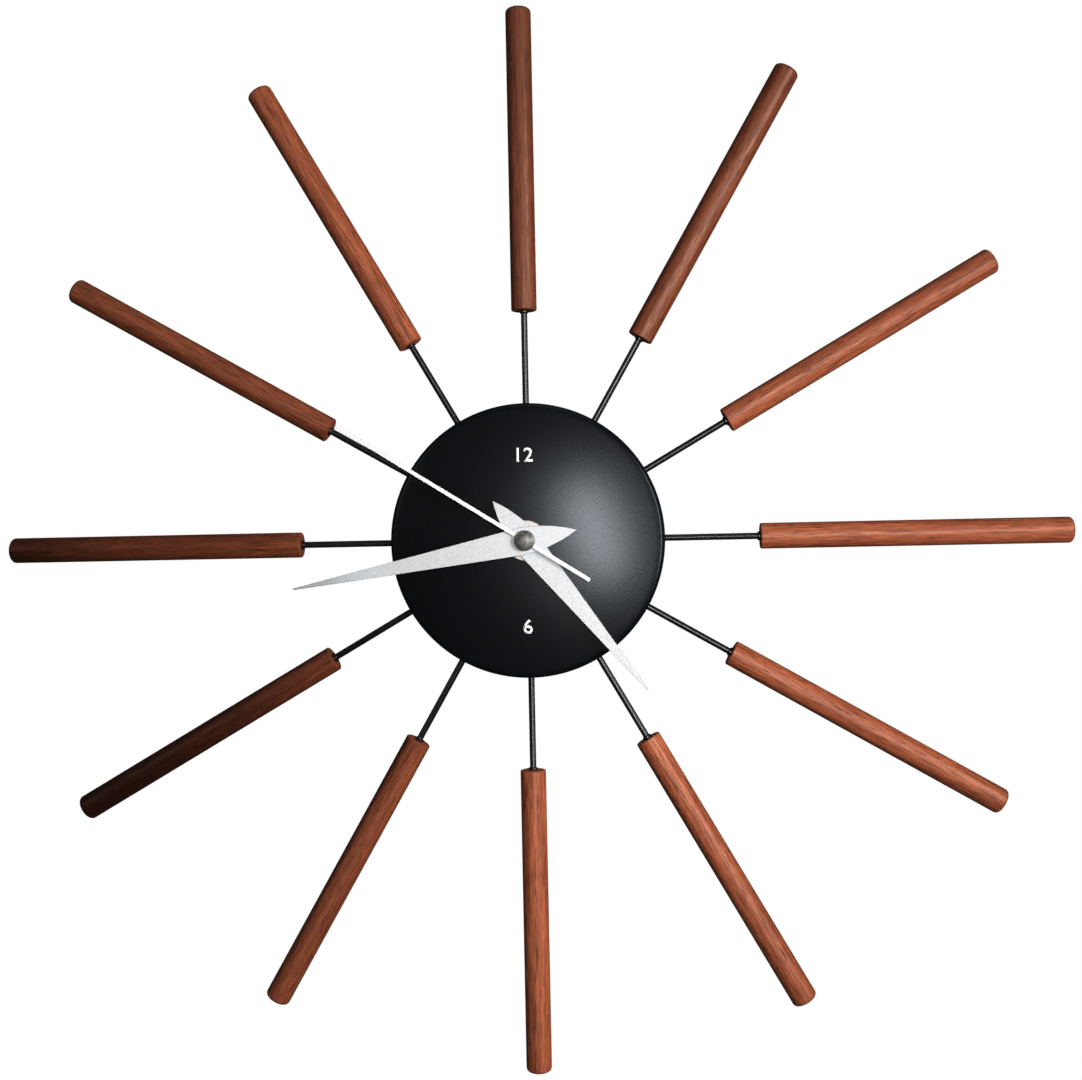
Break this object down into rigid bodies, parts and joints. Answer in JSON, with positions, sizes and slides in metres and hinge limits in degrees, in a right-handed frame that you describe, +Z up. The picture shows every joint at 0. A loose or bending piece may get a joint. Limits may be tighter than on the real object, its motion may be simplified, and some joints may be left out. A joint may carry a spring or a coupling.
{
  "type": "sunburst wall clock",
  "caption": "Battery wall clock with a black domed hub, wooden dowels on slim black rods as rays, and three hands driven by a geared quartz movement.",
  "frame": {"origin": "where the axis of the hands meets the wall, on the back plate's flat face", "axes": "+Z up towards the twelve o'clock dowel, +X to the viewer's right, the dial faces -Y and the wall is on the +Y side"},
  "size_m": [0.5, 0.0341, 0.5],
  "materials": {
    "dowel_wood": "satin oiled hardwood",
    "rod_black": "gloss black enamel",
    "dome_black": "satin black powder coat with a fine texture",
    "carrier_plastic": "moulded black plastic",
    "zinc_steel": "zinc plated",
    "brass": "turned brass",
    "rubber": "matt rubber",
    "hand_silver": "fine speckled silver lacquer",
    "second_white": "white lacquer",
    "cap_steel": "dull grey metal",
    "case_plastic": "moulded black plastic",
    "gear_white": "natural acetal plastic",
    "gear_tinted": "tinted acetal plastic",
    "knob_red": "moulded red plastic",
    "magnet": "sintered ferrite",
    "soft_iron": "rolled soft iron",
    "copper_wire": "enamelled copper wire",
    "board_green": "lacquered board",
    "resin_black": "cast resin",
    "nickel": "nickel plated",
    "battery_sleeve": "plain printed sleeve"
  },
  "bodies": {
    "root": {"wood_dowel_12": "dowel_wood", "wood_dowel_01": "dowel_wood", "wood_dowel_02": "dowel_wood", "wood_dowel_03": "dowel_wood", "wood_dowel_04": "dowel_wood", "wood_dowel_05": "dowel_wood", "wood_dowel_06": "dowel_wood", "wood_dowel_07": "dowel_wood", "wood_dowel_08": "dowel_wood", "wood_dowel_09": "dowel_wood", "wood_dowel_10": "dowel_wood", "wood_dowel_11": "dowel_wood", "spoke_rod_12": "rod_black", "spoke_rod_01": "rod_black", "spoke_rod_02": "rod_black", "spoke_rod_03": "rod_black", "spoke_rod_04": "rod_black", "spoke_rod_05": "rod_black", "spoke_rod_06": "rod_black", "spoke_rod_07": "rod_black", "spoke_rod_08": "rod_black", "spoke_rod_09": "rod_black", "spoke_rod_10": "rod_black", "spoke_rod_11": "rod_black", "rod_nuts": "zinc_steel", "carrier_ring": "carrier_plastic", "dial_dome": "dome_black", "back_plate": "carrier_plastic", "back_plate_screws": "zinc_steel", "centre_nut": "brass", "centre_washer": "brass", "rubber_washer": "rubber", "movement_case": "case_plastic", "movement_cover": "case_plastic", "train_bridge": "brass", "battery": "battery_sleeve", "contact_positive": "nickel", "contact_negative": "nickel", "circuit_board": "board_green", "control_chip": "resin_black", "quartz_crystal": "nickel", "coil_core": "soft_iron", "coil_winding": "copper_wire", "stator": "soft_iron"},
    "minute": {"centre_wheel": "gear_white", "minute_collet": "brass", "minute_hand": "hand_silver"},
    "hour": {"hour_wheel": "gear_white", "hour_collet": "brass", "hour_hand": "hand_silver"},
    "second": {"seconds_arbor": "zinc_steel", "seconds_wheel": "gear_white", "second_hand": "second_white", "second_hand_cap": "cap_steel"},
    "third": {"third_wheel": "gear_white"},
    "intermediate": {"intermediate_wheel": "gear_tinted"},
    "rotor": {"rotor_pinion": "gear_tinted", "rotor_magnet": "magnet"},
    "motion": {"minute_wheel": "gear_white"},
    "setting": {"setting_knob": "knob_red"}
  },
  "joints": [
    {"name": "minute_spin", "type": "hinge", "parent": "root", "child": "minute", "pos_m": [0, -0.012, 0], "axis": [0, 1, 0], "continuous": true},
    {"name": "hour_spin", "type": "hinge", "parent": "root", "child": "hour", "pos_m": [0, -0.012, 0], "axis": [0, 1, 0], "continuous": true},
    {"name": "second_spin", "type": "hinge", "parent": "root", "child": "second", "pos_m": [0, -0.012, 0], "axis": [0, 1, 0], "continuous": true},
    {"name": "third_spin", "type": "hinge", "parent": "root", "child": "third", "pos_m": [-0.00779, -0.012, 0.0045], "axis": [0, 1, 0], "continuous": true},
    {"name": "intermediate_spin", "type": "hinge", "parent": "root", "child": "intermediate", "pos_m": [0.0045, -0.012, 0.00779], "axis": [0, 1, 0], "continuous": true},
    {"name": "rotor_spin", "type": "hinge", "parent": "root", "child": "rotor", "pos_m": [0.00631, -0.012, 0.01456], "axis": [0, 1, 0], "continuous": true},
    {"name": "motion_spin", "type": "hinge", "parent": "root", "child": "motion", "pos_m": [0.0065, -0.012, -0.00375], "axis": [0, 1, 0], "continuous": true},
    {"name": "setting_spin", "type": "hinge", "parent": "root", "child": "setting", "pos_m": [0.01442, -0.012, -0.00086], "axis": [0, 1, 0], "continuous": true}
  ],
  "couplings": [
    {"joint": "hour_spin", "follows": "minute_spin", "ratio": 0.083333},
    {"joint": "second_spin", "follows": "minute_spin", "ratio": 60},
    {"joint": "third_spin", "follows": "minute_spin", "ratio": -8},
    {"joint": "intermediate_spin", "follows": "minute_spin", "ratio": -300},
    {"joint": "rotor_spin", "follows": "minute_spin", "ratio": 1800},
    {"joint": "motion_spin", "follows": "minute_spin", "ratio": -0.33333},
    {"joint": "setting_spin", "follows": "minute_spin", "ratio": 0.66667}
  ]
}
